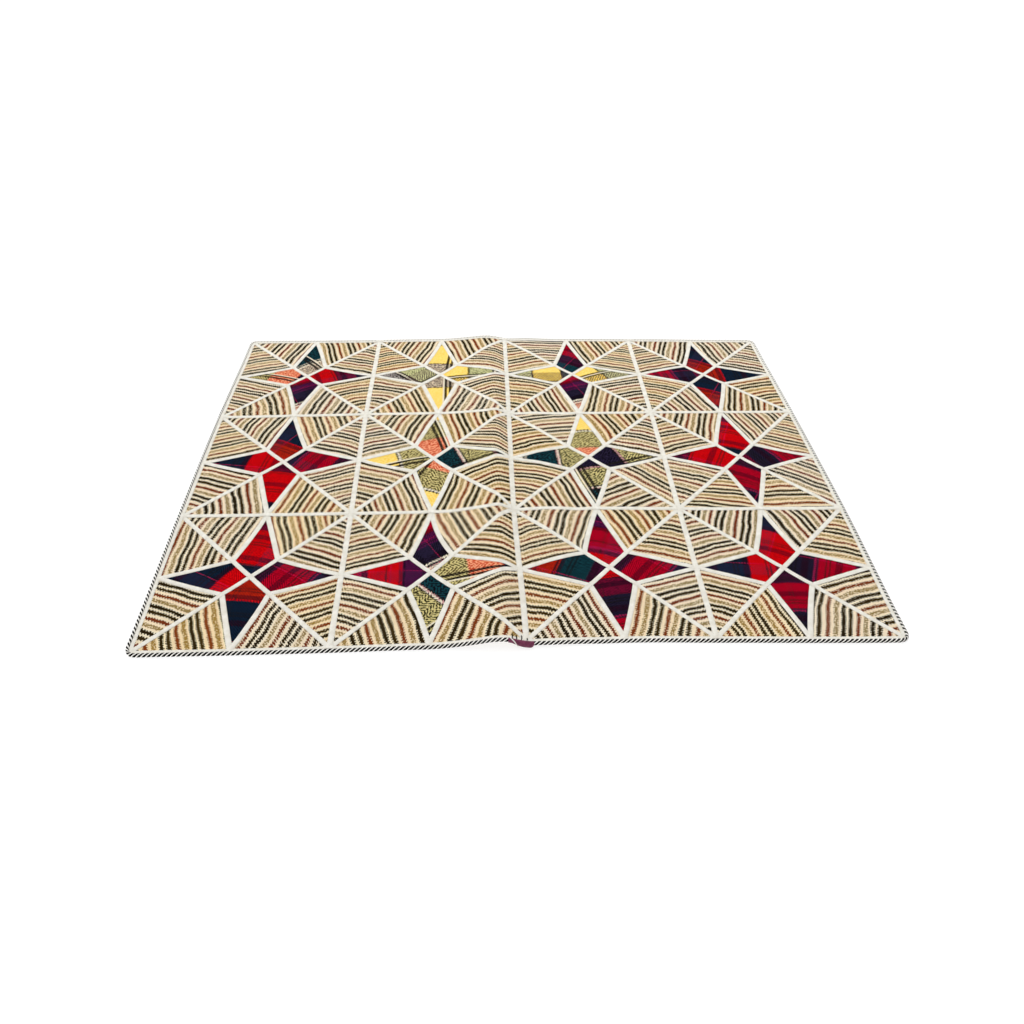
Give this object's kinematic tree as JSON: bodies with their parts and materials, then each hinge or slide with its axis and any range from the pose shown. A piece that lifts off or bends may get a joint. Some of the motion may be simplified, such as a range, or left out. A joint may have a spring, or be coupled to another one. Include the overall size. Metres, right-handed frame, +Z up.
{
  "type": "patchwork rug",
  "caption": "Flat floor rug of pieced wool star blocks under white seam tape, with a low soft fold across it, a whipped roll round the edge and a bare cloth label on the front edge.",
  "frame": {"origin": "on the floor under the middle of the rug's box", "axes": "+X along the rug's longer side, +Y from the front edge to the back edge, +Z up"},
  "size_m": [2.035, 1.683, 0.0354],
  "materials": {
    "pieced_wool": "striped and plaid wool twill, matt",
    "seam_tape": "off-white cotton tape, matt",
    "whipping": "black and off-white yarn, whipped",
    "label": "dark mauve ribbon, bare"
  },
  "bodies": {
    "root": {"pieced_cloth": "pieced_wool", "edge_tape": "seam_tape", "column_tape_1": "seam_tape", "column_tape_2": "seam_tape", "column_tape_3": "seam_tape", "cross_tape_1_1": "seam_tape", "cross_tape_1_2": "seam_tape", "cross_tape_1_3": "seam_tape", "cross_tape_1_4": "seam_tape", "cross_tape_2_1": "seam_tape", "cross_tape_2_2": "seam_tape", "cross_tape_2_3": "seam_tape", "cross_tape_2_4": "seam_tape", "star_tape_1_1": "seam_tape", "star_tape_1_2": "seam_tape", "star_tape_1_3": "seam_tape", "star_tape_1_4": "seam_tape", "star_tape_2_1": "seam_tape", "star_tape_2_2": "seam_tape", "star_tape_2_3": "seam_tape", "star_tape_2_4": "seam_tape", "star_tape_3_1": "seam_tape", "star_tape_3_2": "seam_tape", "star_tape_3_3": "seam_tape", "star_tape_3_4": "seam_tape", "whipped_edge_front": "whipping", "whipped_edge_right": "whipping", "whipped_edge_back": "whipping", "whipped_edge_left": "whipping", "edge_label": "label"}
  },
  "joints": []
}
